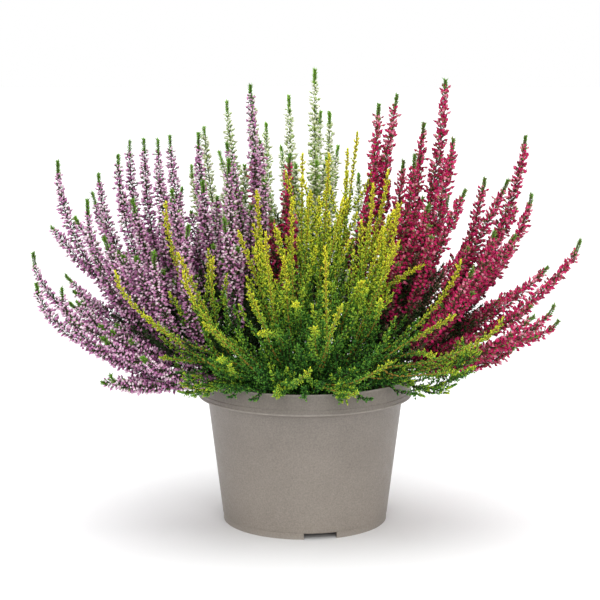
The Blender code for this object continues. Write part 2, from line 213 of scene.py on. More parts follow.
def blend_colours(finish, first, second, kind="MULTIPLY", factor=1.0):
    """Two colours multiplied or mixed."""
    made = node(finish, "ShaderNodeMix", data_type="RGBA", blend_type=kind)
    for socket, value in zip(MIX_SOCKETS, (factor, first, second)):
        feed(finish, value, made.inputs[socket])
    return made.outputs[MIX_RESULT]


def sum_up(finish, kind, first, second):
    """Two numbers added, subtracted, multiplied or divided."""
    made = node(finish, "ShaderNodeMath", operation=kind)
    for socket, value in zip(made.inputs, (first, second)):
        feed(finish, value, socket)
    return made.outputs["Value"]


def make_mottle():
    """A group that gives an uneven grey and a height for bumps, at a scale of its own."""
    group = bpy.data.node_groups.new("mottle", "ShaderNodeTree")
    for name in ("Scale", "Depth"):
        group.interface.new_socket(name, in_out="INPUT", socket_type="NodeSocketFloat")
    group.interface.new_socket("Shade", in_out="OUTPUT", socket_type="NodeSocketColor")
    group.interface.new_socket("Height", in_out="OUTPUT", socket_type="NodeSocketFloat")
    inside = node(group, "NodeGroupInput")
    outside = node(group, "NodeGroupOutput")
    place = node(group, "ShaderNodeTexCoord")
    noise = node(
        group, "ShaderNodeTexNoise", Vector=place.outputs["Object"], Scale=inside.outputs["Scale"],
        Detail=3.0, Roughness=0.6,
    )
    about = sum_up(group, "SUBTRACT", noise.outputs["Fac"], 0.5)
    deep = sum_up(group, "MULTIPLY", about, inside.outputs["Depth"])
    feed(group, sum_up(group, "ADD", deep, 1.0), outside.inputs["Shade"])
    feed(group, noise.outputs["Fac"], outside.inputs["Height"])
    return group


mottle = make_mottle()


def mottled(finish, scale, depth):
    """The mottle group in a material, with its own scale and depth."""
    made = node(finish, "ShaderNodeGroup", node_tree=mottle, Scale=scale, Depth=depth)
    return made.outputs["Shade"], made.outputs["Height"]


def dent(finish, shader, height, strength, distance):
    """Bumps on a surface from a height."""
    bump = node(finish, "ShaderNodeBump", Strength=strength, Distance=distance, Height=height)
    feed(finish, bump.outputs["Normal"], shader.inputs["Normal"])


pot_finish, pot_shader = new_finish("recycled_plastic", roughness=0.5)
fine_shade, fine_height = mottled(pot_finish, scale=850.0, depth=0.85)
cloud_shade, _ = mottled(pot_finish, scale=26.0, depth=0.26)
speckled = blend_colours(pot_finish, POT_COLOUR, fine_shade)
clouded = blend_colours(pot_finish, speckled, cloud_shade)
pot_place = node(pot_finish, "ShaderNodeTexCoord").outputs["Object"]
pot_axes = node(pot_finish, "ShaderNodeSeparateXYZ", Vector=pot_place)
pot_share = sum_up(pot_finish, "DIVIDE", pot_axes.outputs["Z"], POT_HEIGHT * MM)
# Painted light and shade by height: the wall is painted lighter towards its foot and darker at the ledge and
# lip band, where the plants above overhang the rim and shade it.
painted_shade_by_height = ramp(pot_finish, pot_share, (
    (0, (1.34, 1.32, 1.29)), (0.2, (1.24, 1.23, 1.21)), (0.6, (1.03, 1.02, 1.01)), (0.84, 0.96),
    (0.862, (0.82, 0.81, 0.8)), (1, (0.78, 0.77, 0.76)),
))
worn_edges = ramp(pot_finish, pot_share, (
    (0, 1), (0.045, 0), (0.857, 0), (0.862, 1), (0.868, 1), (0.874, 0), (0.985, 0), (1, 1),
))
scuffs = node(
    pot_finish, "ShaderNodeTexNoise", Vector=pot_place, Scale=160.0, Detail=5.0, Roughness=0.7,
).outputs["Fac"]
wear = blend_colours(pot_finish, worn_edges, ramp(pot_finish, scuffs, ((0.3, 0.16), (0.68, 0.5))))
# The pot's colour with that painted light and shade, then mixed with the pale of its worn edges and scuffs.
pot_with_painted_shade = blend_colours(pot_finish, clouded, painted_shade_by_height)
wear_and_painted_shade = blend_colours(pot_finish, pot_with_painted_shade, POT_PALE, kind="MIX", factor=wear)
feed(pot_finish, wear_and_painted_shade, pot_shader.inputs["Base Color"])
feed(pot_finish, ramp(pot_finish, scuffs, ((0.3, 0.42), (0.7, 0.6))), pot_shader.inputs["Roughness"])
dent(pot_finish, pot_shader, fine_height, strength=0.25, distance=0.0002)

band_low = POT_HEIGHT - LIP_HEIGHT
shoulder = band_low - LEDGE_DROP
pot_profile = (
    (0, FLOOR_TOP),
    (wall_radius(FLOOR_TOP) - WALL, FLOOR_TOP),
    (SHOULDER_RADIUS - WALL, shoulder + WALL),
    (RIM_RADIUS - WALL, band_low + WALL),
    (RIM_RADIUS - WALL, POT_HEIGHT),
    (RIM_RADIUS, POT_HEIGHT),
    (RIM_RADIUS, band_low + BAND_LINE),
    (RIM_RADIUS + 0.5 * BEAD, band_low + BAND_LINE - 0.5 * BEAD),
    (RIM_RADIUS + 0.5 * BEAD, band_low + BEAD_HEIGHT),
    (RIM_RADIUS + BEAD, band_low + BEAD_HEIGHT - BEAD),
    (RIM_RADIUS + BEAD, band_low),
    (SHOULDER_RADIUS, shoulder),
    (wall_radius(FOOT_BAND), FOOT_BAND),
    (FOOT_RADIUS, FOOT_BAND - FOOT_STEP),
    (FOOT_RADIUS, 0),
    (FOOT_RADIUS - FOOT_RING, 0),
    (FOOT_RADIUS - FOOT_RING, FLOOR_UNDER),
    (0, FLOOR_UNDER),
)
pot_mesh = turned(pot_profile, POT_SIDES)
rings = [
    edge for edge in pot_mesh.edges
    if abs(edge.verts[0].co.z - edge.verts[1].co.z) < SAME and edge.calc_face_angle(0) > SHARP_EDGE
    and abs(edge.verts[0].co.xy.length - edge.verts[1].co.xy.length) < SAME
]
bmesh.ops.bevel(
    pot_mesh, geom=rings, affect="EDGES", offset=SOFT_EDGE, segments=2, profile=0.5, material=-1,
    clamp_overlap=True,
)
pot = add_piece("pot_body", pot_mesh, pot_finish)

openings = bmesh.new()
for angle in NOTCH_ANGLES:
    turn = Matrix.Rotation(math.radians(angle), 4, "Z")
    place = turn @ Matrix.Translation((FOOT_RADIUS, 0, 0))
    size = Matrix.Diagonal((4 * FOOT_RING, NOTCH_WIDTH, 2 * NOTCH_HEIGHT, 1))
    bmesh.ops.create_cube(openings, size=1, matrix=place @ size)
for number in range(DRAIN_COUNT):
    turn = Matrix.Rotation(math.tau * number / DRAIN_COUNT, 4, "Z")
    bmesh.ops.create_cone(
        openings, cap_ends=True, segments=DRAIN_SIDES, radius1=DRAIN_RADIUS, radius2=DRAIN_RADIUS,
        depth=FLOOR_TOP, matrix=turn @ Matrix.Translation((DRAIN_RING, 0, FLOOR_TOP)),
    )
cutter = add_piece("pot_openings", openings, pot_finish)
boolean = pot.modifiers.new("openings", "BOOLEAN")
boolean.operation = "DIFFERENCE"
boolean.object = cutter
bpy.context.view_layer.update()
cut_pot = bpy.data.meshes.new_from_object(pot.evaluated_get(bpy.context.evaluated_depsgraph_get()))
pot.modifiers.clear()
pot.data = cut_pot
bpy.data.objects.remove(cutter)
pot.data.shade_smooth()
pot.data.set_sharp_from_angle(angle=math.radians(CREASE_ANGLE))
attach(pot, "root")
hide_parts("pot")

# Compost
# A damp root ball of bark and wood fibre that fills the pot to a finger's width below its rim. Its top is
# uneven and crumbly, with chips of bark and a few pale fibres lying on it.
GAP = 0.3
SOIL_EDGE = 98
SOIL_DOME = 4
SOIL_SIDES = 96
SOIL_RINGS = 26
CRUMB_COUNT = 700
FIBRE_COUNT = 300
FIBRE_STRETCH = 11
FIBRE_SLANT = 0.25
GRAIN_MARGIN = 2.5
GRAIN_RISE = 0.2
GRAIN_LEAST = 0.6
GRAIN_SPAN = 0.7
SOIL_SEED = 5
COMPOST_COLOUR = (0.035, 0.022, 0.014, 1)

# How far round a small shape's surface is unrolled, in turns, and the margin of its patch
UNROLLED = 1.5
PATCH_MARGIN = 0.1


def soil_height(reach):
    """How high the domed compost stands at a distance from the pot's axis."""
    edge = wall_radius(SOIL_EDGE)
    return SOIL_EDGE + SOIL_DOME * (1 - (reach / edge) ** 2)


def soil_lumps(x, y):
    """The unevenness of the compost's top at a place."""
    return 0.7 * (np.sin(x / 3 + 1.3) + np.cos(y / 4 + x / 9)) + 0.5 * np.sin(x * 0.9) * np.cos(y * 0.8 + 1)


def pattern_of(mesh, slot):
    """A small shape's corners, triangles and unrolled surface, ready to be repeated."""
    bmesh.ops.triangulate(mesh, faces=mesh.faces)
    bmesh.ops.recalc_face_normals(mesh, faces=mesh.faces)
    mesh.verts.index_update()
    corners = np.array([corner.co for corner in mesh.verts])
    faces = np.array([[corner.index for corner in face.verts] for face in mesh.faces])
    mesh.free()
    along = (corners[:, 2] - corners[:, 2].min()) / np.ptp(corners[:, 2])
    middles = corners[faces].mean(axis=1)
    facing = np.arctan2(middles[:, 1], middles[:, 0])[:, None]
    angles = np.arctan2(corners[:, 1], corners[:, 0])
    turned_by = (angles[faces] - facing + math.pi) % math.tau - math.pi
    turned_by[np.hypot(corners[:, 0], corners[:, 1])[faces] < 0.1 * SAME] = 0
    around = ((facing + turned_by) / math.tau + 0.5 * UNROLLED) / UNROLLED
    return {
        "corners": corners, "faces": faces, "patch": np.stack((around, along[faces]), axis=2),
        "along": along, "slot": slot,
    }


def unit(ways):
    """The same directions at length one."""
    return ways / np.linalg.norm(ways, axis=-1, keepdims=True)


def repeat(pattern, centres, axes, outs, sizes, tones, ages):
    """Copies of a shape that stands along +Z, one at each centre along its axis and facing its way out."""
    upright = unit(axes)
    front = unit(outs - upright * (outs * upright).sum(axis=1, keepdims=True))
    side = np.cross(front, upright)
    turn = np.stack((side, front, upright), axis=2) * sizes[:, None, :]
    corners = np.einsum("kij,nj->kni", turn, pattern["corners"]) + centres[:, None]
    return pattern, corners, tones, ages


def assemble(name, batches, finishes):
    """One piece from batches of repeated shapes, each copy with its own patch, tone and age."""
    copies = sum(len(corners) for _, corners, _, _ in batches)
    patches = math.ceil(math.sqrt(copies))
    points, faces, maps, slots, shares, tones, ages = [], [], [], [], [], [], []
    first, number = 0, 0
    for pattern, corners, tone, age in batches:
        count, size = corners.shape[:2]
        shape = pattern["faces"]
        starts = first + size * np.arange(count)
        cells = number + np.arange(count)
        cell_place = np.stack((cells % patches, cells // patches), axis=1)[:, None, None]
        patch = PATCH_MARGIN + (1 - 2 * PATCH_MARGIN) * pattern["patch"][None]
        points.append(corners.reshape(-1, 3) * MM)
        faces.append((shape[None] + starts[:, None, None]).reshape(-1, 3))
        maps.append(((cell_place + patch) / patches).reshape(-1, 2))
        slots.append(np.full(count * len(shape), pattern["slot"]))
        shares.append(np.tile(pattern["along"], count))
        tones.append(np.repeat(tone, size))
        ages.append(np.repeat(age, size))
        first += count * size
        number += count
    points, faces = np.concatenate(points), np.concatenate(faces)
    data = bpy.data.meshes.new(name)
    data.vertices.add(len(points))
    data.vertices.foreach_set("co", points.ravel())
    data.loops.add(faces.size)
    data.loops.foreach_set("vertex_index", faces.ravel())
    data.polygons.add(len(faces))
    data.polygons.foreach_set("loop_start", np.arange(0, faces.size, 3))
    data.polygons.foreach_set("material_index", np.concatenate(slots))
    data.update(calc_edges=True)
    data.uv_layers.new(name="OFBake").uv.foreach_set("vector", np.concatenate(maps).ravel())
    for key, values in (("share", shares), ("tone", tones), ("age", ages)):
        data.attributes.new(key, "FLOAT", "POINT").data.foreach_set("value", np.concatenate(values))
    for finish in finishes:
        data.materials.append(finish)
    data.shade_smooth()
    piece = add_object(name, data)
    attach(piece, "root")
    return piece


def attribute(finish, name):
    """A number that each copy brings along: its tone, its age, or the share from its foot to its tip."""
    return node(finish, "ShaderNodeAttribute", attribute_name=name).outputs["Fac"]


compost_finish, compost_shader = new_finish("damp_compost", roughness=0.95)
compost_shade, compost_height = mottled(compost_finish, scale=420.0, depth=1.3)
compost_colour = blend_colours(compost_finish, COMPOST_COLOUR, compost_shade)
feed(compost_finish, compost_colour, compost_shader.inputs["Base Color"])
dent(compost_finish, compost_shader, compost_height, strength=0.8, distance=0.002)

soil_bottom = FLOOR_TOP + GAP
soil_edge = wall_radius(SOIL_EDGE) - WALL - GAP
soil_profile = [
    (soil_edge * ring / SOIL_RINGS, soil_height(soil_edge * ring / SOIL_RINGS))
    for ring in range(SOIL_RINGS + 1)
]
soil_profile += [(wall_radius(soil_bottom) - WALL - GAP, soil_bottom), (0, soil_bottom)]
soil_mesh = turned(soil_profile, SOIL_SIDES)
for corner in soil_mesh.verts:
    if corner.co.z > soil_bottom and corner.co.xy.length < soil_edge - 1:
        corner.co.z += soil_lumps(corner.co.x, corner.co.y)
compost = add_piece("compost_ball", soil_mesh, compost_finish)
compost.data.shade_smooth()
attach(compost, "root")
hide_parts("compost")

crumb_mesh = bmesh.new()
bmesh.ops.create_icosphere(crumb_mesh, subdivisions=1, radius=0.5)
crumb = pattern_of(crumb_mesh, 0)
fibre_mesh = bmesh.new()
bmesh.ops.create_cone(fibre_mesh, cap_ends=True, segments=3, radius1=0.5, radius2=0.2, depth=1)
fibre = pattern_of(fibre_mesh, 1)


def grain_finish(name, dark, pale):
    """Bark or fibre whose tone differs from one piece to the next."""
    finish, shader = new_finish(name, roughness=0.85)
    tone = ramp(finish, attribute(finish, "tone"), ((0, dark), (0.75, dark), (1, pale)))
    shade, height = mottled(finish, scale=900.0, depth=1.0)
    feed(finish, blend_colours(finish, tone, shade), shader.inputs["Base Color"])
    dent(finish, shader, height, strength=0.6, distance=0.0006)
    return finish


bark_finish = grain_finish("bark_crumb", dark=(0.035, 0.02, 0.012), pale=(0.13, 0.075, 0.04))
fibre_finish = grain_finish("wood_fibre", dark=(0.09, 0.055, 0.028), pale=(0.3, 0.22, 0.13))
rng = np.random.default_rng(SOIL_SEED)


def strew(pattern, count, low, high, stretch):
    """Lay copies of a grain at random over the compost's top."""
    reach = (soil_edge - GRAIN_MARGIN) * np.sqrt(rng.random(count))
    angle = rng.random(count) * math.tau
    x, y = reach * np.cos(angle), reach * np.sin(angle)
    size = low + (high - low) * rng.random(count) ** 2
    centres = np.stack((x, y, soil_height(reach) + soil_lumps(x, y) + GRAIN_RISE * size), axis=1)
    sizes = size[:, None] * (GRAIN_LEAST + GRAIN_SPAN * rng.random((count, 3)))
    axes = rng.normal(size=(count, 3))
    if stretch > 1:
        sizes = size[:, None] * np.array((1, 1, stretch))
        axes[:, 2] *= FIBRE_SLANT
    outs = rng.normal(size=(count, 3))
    return repeat(pattern, centres, axes, outs, sizes, tones=rng.random(count), ages=np.ones(count))


grains = [
    strew(crumb, CRUMB_COUNT, low=1.2, high=5.0, stretch=1),
    strew(fibre, FIBRE_COUNT, low=0.35, high=0.9, stretch=FIBRE_STRETCH),
]
crumbs = assemble("compost_crumbs", grains, (bark_finish, fibre_finish))

# How the sprays stand
# Each plant's woody stems rise from its own crown in the compost, sweep outward and then upward, and fork
# low down. The courses follow the part's own rule, so every finer spray grows where its solid stands.
PLANTS = {
    "lilac": {"crown": (-34, 6), "sweep": 1.9, "lift": 1.25, "bud": 6.6, "leaf": 3.0, "bloom": 0.42},
    "white": {"crown": (2, 36), "sweep": 1.5, "lift": 1.1, "bud": 6.0, "leaf": 3.2, "bloom": 0.48},
    "crimson": {"crown": (34, 6), "sweep": 1.5, "lift": 1.1, "bud": 7.0, "leaf": 3.0, "bloom": 0.4},
    "gold": {"crown": (0, -34), "sweep": 1.6, "lift": 1.1, "bud": 4.4, "leaf": 3.8, "bloom": 0.25},
}

# The tips of each spray's shoots: the first shoot stands in the compost, and the others fork from it
SPRAYS = {
    "lilac": (
        ((-198, 30, 285), (-173, 48, 258)),
        ((-164, -55, 262), (-150, -74, 236)),
        ((-162, 0, 277), (-180, -10, 244)),
        ((-143, -30, 294), (-130, -56, 262)),
        ((-142, 48, 300), (-128, 22, 303)),
        ((-112, -35, 306), (-100, -62, 270)),
        ((-108, 30, 305), (-122, 72, 270), (-150, 84, 236)),
        ((-83, -5, 309), (-78, -38, 275)),
        ((-58, -45, 292), (-60, -76, 250)),
        ((-43, 5, 346), (-62, 12, 300)),
        ((-217, 15, 213), (-196, 46, 190)),
        ((-208, -30, 195), (-186, -8, 176)),
        ((-182, -75, 198), (-178, -58, 170), (-150, -98, 164)),
        ((-146, -85, 134), (-120, -104, 150)),
        ((-175, 98, 196), (-134, 128, 212), (-104, 112, 256)),
        ((-112, -82, 226), (-86, -84, 246)),
    ),
    "white": (
        ((-94, 76, 278), (-82, 52, 311)),
        ((-64, 68, 331), (-72, 96, 288)),
        ((-42, 44, 336), (-32, 82, 312)),
        ((-13, 54, 336), (-20, 94, 292)),
        ((8, 48, 357), (13, 84, 322)),
        ((20, 60, 323), (28, 106, 292)),
        ((-66, 140, 228), (-40, 126, 268)),
        ((0, 150, 232), (-10, 128, 276)),
        ((62, 140, 222), (46, 112, 268)),
    ),
    "crimson": (
        ((58, 12, 331), (73, 26, 338)),
        ((109, 0, 350), (94, 18, 316)),
        ((112, -40, 307), (120, -60, 270)),
        ((84, -26, 294), (94, -50, 258)),
        ((80, 48, 284), (98, 70, 252)),
        ((176, 30, 305), (160, 4, 272), (146, 44, 270)),
        ((175, -20, 263), (160, -46, 234)),
        ((141, -70, 240), (124, -86, 214)),
        ((217, 0, 225), (196, 24, 200)),
        ((190, -50, 181), (172, -72, 176)),
        ((205, 20, 157), (184, -8, 150)),
        ((171, 62, 213), (186, 78, 176)),
        ((122, 110, 250), (142, 98, 212), (96, 132, 214)),
        ((-42, 24, 292), (-12, 20, 291)),
        ((162, -34, 146), (138, -62, 158)),
    ),
    "gold": (
        ((-103, -60, 261), (-94, -86, 225), (-68, -84, 222)),
        ((-140, -90, 212), (-118, -104, 182), (-108, -92, 148)),
        ((-89, -104, 214), (-74, -122, 180), (-62, -124, 152)),
        ((-37, -40, 267), (-50, -72, 240)),
        ((-29, -92, 241), (-42, -114, 205), (-34, -130, 172)),
        ((-2, -20, 294), (4, -46, 268)),
        ((-10, -62, 264), (-16, -98, 224), (-8, -120, 192)),
        ((18, -30, 295), (28, -56, 262)),
        ((33, -10, 297), (41, 6, 309)),
        ((51, -50, 273), (58, -72, 240), (42, -98, 206)),
        ((64, -20, 281), (76, -6, 256), (90, -52, 212)),
        ((69, -62, 260), (68, -100, 236), (54, -122, 196)),
        ((14, -112, 233), (26, -134, 194), (6, -134, 178)),
        ((116, -72, 218), (110, -102, 182), (94, -110, 152)),
        ((146, -90, 178), (128, -76, 150), (112, -106, 140)),
        ((-22, -114, 126), (4, -150, 150)),
        ((38, -118, 128), (62, -128, 152)),
        ((-80, -64, 120), (-58, -112, 148)),
    ),
}

# How shoots are drawn, fork and are bent clear of each other: points, millimetres, rounds and shares
SHOOT_POINTS = 22
FORK_POINT = 4
FORK_STEP = 2
FORK_BEND = 0.4
ROOT_SPREAD = 0.14
ROOT_REACH = 50
ROOT_SPACING = 7.5
ROOT_ROUNDS = 150
ROOT_PUSH = 0.4
CURVE_POINTS = 4 * SHOOT_POINTS
BEND_ROUNDS = 240
BEND_GAP = 0.8
NEAR = 19
BEND_PUSH = 0.3
RIM_APPROACH = 15
PAIR_ROUNDS = 8
CLEAR_OF_FORK = 2
TIP_LEAVES = 16
BARE_REACH = 2
BLOOM_FADE = 0.1
TIP_FADE = 0.04


def length_of(line):
    """How long a line of points is."""
    return np.linalg.norm(np.diff(line, axis=0), axis=1).sum()


def arc(start, bend, tip, count):
    """Points along a curve that leaves its start towards the bend and ends at the tip."""
    t = np.linspace(0, 1, count)[:, None]
    return (1 - t) ** 2 * start + 2 * t * (1 - t) * bend + t ** 2 * tip


def evenly(points, count):
    """The same course with its points at equal distances."""
    steps = np.linalg.norm(np.diff(points, axis=0), axis=1)
    along = np.concatenate(([0], np.cumsum(steps)))
    wanted = np.linspace(0, along[-1], count)
    return np.column_stack([np.interp(wanted, along, points[:, axis]) for axis in range(3)])


def bowed(start, tip, sweep, lift):
    """A shoot's course, which sweeps outward first and then upward, as evenly spaced points."""
    t = np.linspace(0, 1, CURVE_POINTS)[:, None]
    flat = start[:2] + (tip[:2] - start[:2]) * (1 - (1 - t) ** sweep)
    rise = start[2] + (tip[2] - start[2]) * t ** lift
    return evenly(np.hstack((flat, rise)), SHOOT_POINTS)


def forked(course, fork, tip):
    """A side shoot's course: its parent's up to the fork, and then its own way to its tip."""
    start = course[fork]
    ahead = course[fork + 1] - course[fork - 1]
    bend = start + ahead / np.linalg.norm(ahead) * np.linalg.norm(tip - start) * FORK_BEND
    way = arc(start, bend, tip, CURVE_POINTS)
    return np.vstack((course[:fork], evenly(way, SHOOT_POINTS - fork)))


def spread_feet(feet):
    """Move the stems' feet apart in the compost until each has room for its hole."""
    for _ in range(ROOT_ROUNDS):
        apart = feet[:, None] - feet[None]
        distance = np.linalg.norm(apart, axis=2) + np.eye(len(feet)) * ROOT_SPACING
        short = np.clip(ROOT_SPACING - distance, 0, None)
        feet = feet + (apart * (short / distance)[:, :, None]).sum(axis=1) * ROOT_PUSH
        reach = np.linalg.norm(feet, axis=1, keepdims=True)
        feet = feet * np.minimum(1, ROOT_REACH / reach)
    return feet


def shoot_reach(course, form):
    """How far leaves and buds reach from a shoot's middle, from its foot to its tip."""
    tip = 1 - TIP_LEAVES / length_of(course)
    marks = (0, form["bloom"] - BLOOM_FADE, form["bloom"], tip - TIP_FADE, tip, 1)
    reach = (BARE_REACH, form["leaf"], form["bud"], form["bud"], form["leaf"], BARE_REACH)
    return np.interp(np.linspace(0, 1, len(course)), marks, reach)


def clear_of_pot(courses, reaches):
    """Lift what would touch the rim or the compost."""
    across = np.linalg.norm(courses[:, :, :2], axis=2)
    over_rim = (across > SHOULDER_RADIUS - RIM_APPROACH) & (across < RIM_RADIUS + BEAD + reaches)
    over_soil = across < SHOULDER_RADIUS
    lowest = np.where(over_rim, POT_HEIGHT, np.where(over_soil, soil_height(across), 0))
    lowest = np.where(over_rim | over_soil, lowest + reaches + BEND_GAP, 0)
    lifted = courses.copy()
    lifted[:, 2:, 2] = np.maximum(courses[:, 2:, 2], lowest[:, 2:])
    return lifted


def near_pairs(points, own, shoot, past_fork, owners):
    """Pairs of points on different shoots that lie close enough to meet."""
    tree = kdtree.KDTree(len(points))
    for index in np.flatnonzero(own):
        tree.insert(points[index], int(index))
    tree.balance()
    pairs = []
    for index in np.flatnonzero(own):
        for _, other, _ in tree.find_range(points[index], NEAR):
            one_spray = owners[shoot[index]] == owners[shoot[other]]
            just_forked = one_spray and min(past_fork[index], past_fork[other]) < CLEAR_OF_FORK
            if other > index and shoot[index] != shoot[other] and not just_forked:
                pairs.append((index, other))
    return np.array(pairs).T


def bend_clear(courses, reaches, owners, forks):
    """Bend shoots that would cross clear of each other, of the pot's rim and of the compost."""
    count, points = courses.shape[:2]
    shoot = np.repeat(np.arange(count), points)
    place = np.tile(np.arange(points), count)
    leader = np.searchsorted(owners, owners)
    own = place > forks[shoot]
    straight = courses.copy()
    reach = reaches.ravel()
    for turn in range(BEND_ROUNDS):
        flat = courses.reshape(-1, 3)
        if turn % PAIR_ROUNDS == 0:
            a, b = near_pairs(flat, own, shoot, place - forks[shoot], owners)
        apart = flat[a] - flat[b]
        distance = np.linalg.norm(apart, axis=1)
        short = np.clip(reach[a] + reach[b] + BEND_GAP - distance, 0, None)
        push = apart * (BEND_PUSH * short / distance)[:, None]
        move = np.zeros_like(flat)
        np.add.at(move, a, push)
        np.add.at(move, b, -push)
        bend = courses + move.reshape(courses.shape) - straight
        bend[:, 1:-1] = bend[:, 1:-1] * 0.5 + (bend[:, :-2] + bend[:, 2:]) * 0.25
        courses = clear_of_pot(straight + bend, reaches)
        courses[:, 0] = straight[:, 0]
        for index in np.flatnonzero(forks):
            shared = slice(0, forks[index] + 1)
            courses[index, shared] = courses[leader[index], shared]
    return courses


def lay_out_shoots():
    """Each spray's plant, and every shoot's spray, fork and course."""
    plants = [plant for plant in PLANTS for _ in SPRAYS[plant]]
    sprays = [spray for plant in PLANTS for spray in SPRAYS[plant]]
    crowns = np.array([PLANTS[plant]["crown"] for plant in plants], float)
    leaders = np.array([spray[0][:2] for spray in sprays], float)
    feet = spread_feet(crowns + ROOT_SPREAD * (leaders - crowns))
    owners, forks, courses, reaches = [], [], [], []
    for number, (plant, spray, foot) in enumerate(zip(plants, sprays, feet)):
        form = PLANTS[plant]
        start = np.array((*foot, soil_height(np.hypot(*foot))))
        leader = bowed(start, np.array(spray[0], float), form["sweep"], form["lift"])
        for order, tip in enumerate(spray):
            fork = (FORK_POINT + FORK_STEP * (order - 1)) if order else 0
            course = forked(leader, fork, np.array(tip, float)) if order else leader
            owners.append(number)
            forks.append(fork)
            courses.append(course)
            reaches.append(shoot_reach(course, form))
    owners, forks = np.array(owners), np.array(forks)
    courses = bend_clear(np.array(courses), np.array(reaches), owners, forks)
    return plants, owners, forks, courses


plants, owners, forks, courses = lay_out_shoots()

# Stems, leaves and flower buds
# Heather wood is thin and wiry. Its leaves are tiny plump scales in crossed pairs, and its buds are small
# ovals on short stalks with a bract or two at their foot. Each is one small shape, repeated.
LINE_STEP = 1.0
LEAST_POINTS = 8
SPLINE_STEPS = 12
SLANT = (0.3, 0.5, -0.81)
SLIGHT = 0.01
GOLDEN_TURN = math.radians(137.5)
STEM_SLOT, LEAF_SLOT, BUD_SLOT = 0, 1, 2
STANDING = Matrix.Translation((0, 0, 0.5))
SPRAY_SEED = 100
STEM_DEPTH = 6
LIVING_GLOSS = 0.22
EVEN = ((0, 1), (1, 1))

# How unevenly leaves, buds and twigs stand: turns in radians, leans in degrees, sizes as shares
WANDER = 0.3
TWIG_WANDER = 0.4
LEAF_SWAY = 10
BUD_SWAY = 24
SIDE_SWAY = 14
BUD_SCATTER = 0.16
LEAF_SIZES = (0.8, 1.2)
TWIG_LEAF_SIZES = (0.85, 1.15)
BUD_LENGTHS = (0.7, 1.2)
BUD_WIDTHS = (0.75, 1.2)
STALK_LENGTHS = (0.1, 1.6)
TWIG_LENGTHS = (0.6, 1.25)

# Leaves and buds: how far from the wood they start, and how they change along a spike or a twig
BARK_OUT = 0.3
TWIG_OUT = 0.2
TIP_OUT = 0.1
TIP_STRETCH = 4
TIP_EVERY = 0.5
TIP_TILT = 20
BUD_MARKS = (0, 0.12, 0.8, 1)
BUD_SIZES = (0.8, 1, 1, 0.75)
BUD_AGES = (0.3, 0.7)
BUD_UPRIGHT = 25
DROOP_LOST = 0.6
CUP_WIDTH = 0.65
CUP_GRIP = 0.4
TWIG_TILT = 46
TWIG_CURL = 0.28
TWIG_RISE = (0, 0, 0.5)
TWIG_END = 3
LEAST_LEAVES = 4
FIRST_PAIR = 1.2
TILT_LOST = 14
FOOT_SIZE = 1.05
SIZE_LOST = 0.3
FIRST_LEAF = 1

# Side shoots: their bend, the room they keep from the pot, and the low ones that trail
SIDE_SHARE = 0.6
SIDE_LEAST = 8
SIDE_BEND = 0.5
SIDE_END = 0.55
SIDE_AWAY = 0.35
RIM_CLEAR = 8
TWIG_ROOM = 2.5
RIM_HANG = 2
LOW_LEAFAGE = 150
TRAILING_BARE = 40
TRAILING_END = 6
TRAILING_STEM = 0.7
TRAILING_TWIG = 0.4
TRAILING_SIDES = {"every": 2.6, "length": (12, 26), "tilt": 50, "rise": 0.5}


def standing_rod(sides, foot, tip, slot, cuts=0):
    """A cone or rod a unit long that stands along +Z, with joints to bend at."""
    mesh = bmesh.new()
    bmesh.ops.create_cone(
        mesh, cap_ends=True, segments=sides, radius1=foot, radius2=tip, depth=1, matrix=STANDING,
    )
    if cuts:
        long_edges = [edge for edge in mesh.edges if abs(edge.verts[0].co.z - edge.verts[1].co.z) > 0.5]
        bmesh.ops.subdivide_edges(mesh, edges=long_edges, cuts=cuts, use_grid_fill=True)
    return pattern_of(mesh, slot)


leaf = standing_rod(sides=3, foot=0.5, tip=0, slot=LEAF_SLOT)
calyx = standing_rod(sides=3, foot=0, tip=0.5, slot=LEAF_SLOT)
stem = standing_rod(sides=4, foot=1, tip=0.5, slot=STEM_SLOT, cuts=17)
twig = standing_rod(sides=3, foot=1, tip=0.5, slot=STEM_SLOT, cuts=4)
bud_mesh = bmesh.new()
bmesh.ops.create_uvsphere(bud_mesh, u_segments=3, v_segments=2, radius=0.5, matrix=STANDING)
bud = pattern_of(bud_mesh, BUD_SLOT)


def framed(line):
    """A line with a point at every millimetre, its headings, and two ways out of it at each point."""
    length = length_of(line)
    line = evenly(line, max(int(length / LINE_STEP), LEAST_POINTS))
    heading = unit(np.gradient(line, axis=0))
    across = unit(np.cross(heading.mean(axis=0), SLANT))
    side = unit(across - heading * (heading @ across)[:, None])
    return {
        "line": line, "heading": heading, "side": side, "front": np.cross(heading, side),
        "length": length,
    }


def smooth_line(course, fork):
    """A shoot's course past its fork as a smooth line."""
    ends = np.vstack((2 * course[0] - course[1], course, 2 * course[-1] - course[-2]))
    t = np.linspace(0, 1, SPLINE_STEPS, endpoint=False)[:, None]
    pieces = []
    for index in range(max(fork - 1, 0), len(course) - 1):
        a, b, c, d = ends[index:index + 4]
        pieces.append(0.5 * (2 * b + (c - a) * t + (2 * a - 5 * b + 4 * c - d) * t ** 2
                             + (3 * b - a - 3 * c + d) * t ** 3))
    return framed(np.vstack((*pieces, course[-1:])))


def swung(first, second, angles):
    """Ways at an angle from a first way towards a second."""
    return np.cos(angles)[:, None] * first + np.sin(angles)[:, None] * second


